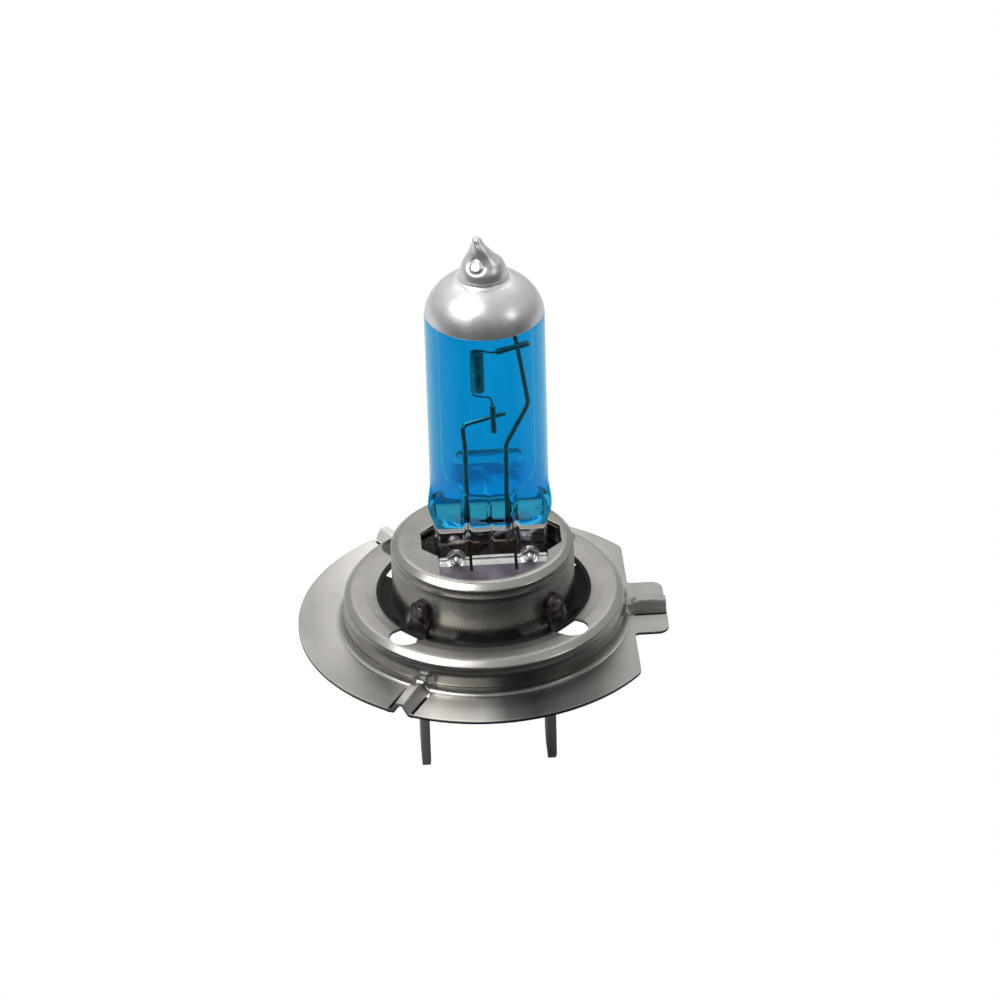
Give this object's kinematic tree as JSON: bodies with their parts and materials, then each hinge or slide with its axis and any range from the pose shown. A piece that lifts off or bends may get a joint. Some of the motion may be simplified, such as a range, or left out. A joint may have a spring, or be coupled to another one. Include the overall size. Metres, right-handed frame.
{
  "type": "halogen headlight bulb",
  "caption": "Halogen headlight bulb: blue-coated quartz tube with silvered top and axial coil, in a sheet-metal focusing ring with keyed tab, raised ribs and blade terminals.",
  "frame": {"origin": "on the centring collar's axis, in the plane of the three rib tops that seat against the reflector", "axes": "+Z along the collar's axis towards the bulb's tip, +X towards the keyed tab, blades spaced along X"},
  "size_m": [0.034, 0.0344, 0.0552],
  "materials": {
    "quartz": "clear fused quartz",
    "blue_coat": "transparent blue film",
    "silver_coat": "satin silver paint",
    "tungsten": "drawn wire",
    "molybdenum": "drawn wire",
    "foil": "thin bright foil",
    "weld": "heat-tinted weld",
    "tinted_steel": "heat-tinted stainless sheet",
    "satin_steel": "satin stainless sheet",
    "ceramic_body": "matt steatite",
    "plated_blade": "tin-plated strip"
  },
  "bodies": {
    "root": {"glass_envelope": "quartz", "blue_filter_coat": "blue_coat", "silver_top_coat": "silver_coat", "filament_coil": "tungsten", "upper_filament_sleeve": "molybdenum", "lower_filament_sleeve": "molybdenum", "long_support_lead": "molybdenum", "short_support_lead": "molybdenum", "quartz_bridge": "quartz", "left_foil": "foil", "right_foil": "foil", "left_outer_lead": "molybdenum", "right_outer_lead": "molybdenum", "lead_weld_beads": "weld", "press_clamp_front": "tinted_steel", "press_clamp_rear": "tinted_steel", "clamp_weld_nuggets": "weld", "holder_cup": "satin_steel", "focusing_ring": "satin_steel", "ring_weld_nuggets": "weld", "base_can": "satin_steel", "can_weld_nuggets": "weld", "insulator": "ceramic_body", "left_blade": "plated_blade", "right_blade": "plated_blade"}
  },
  "joints": []
}
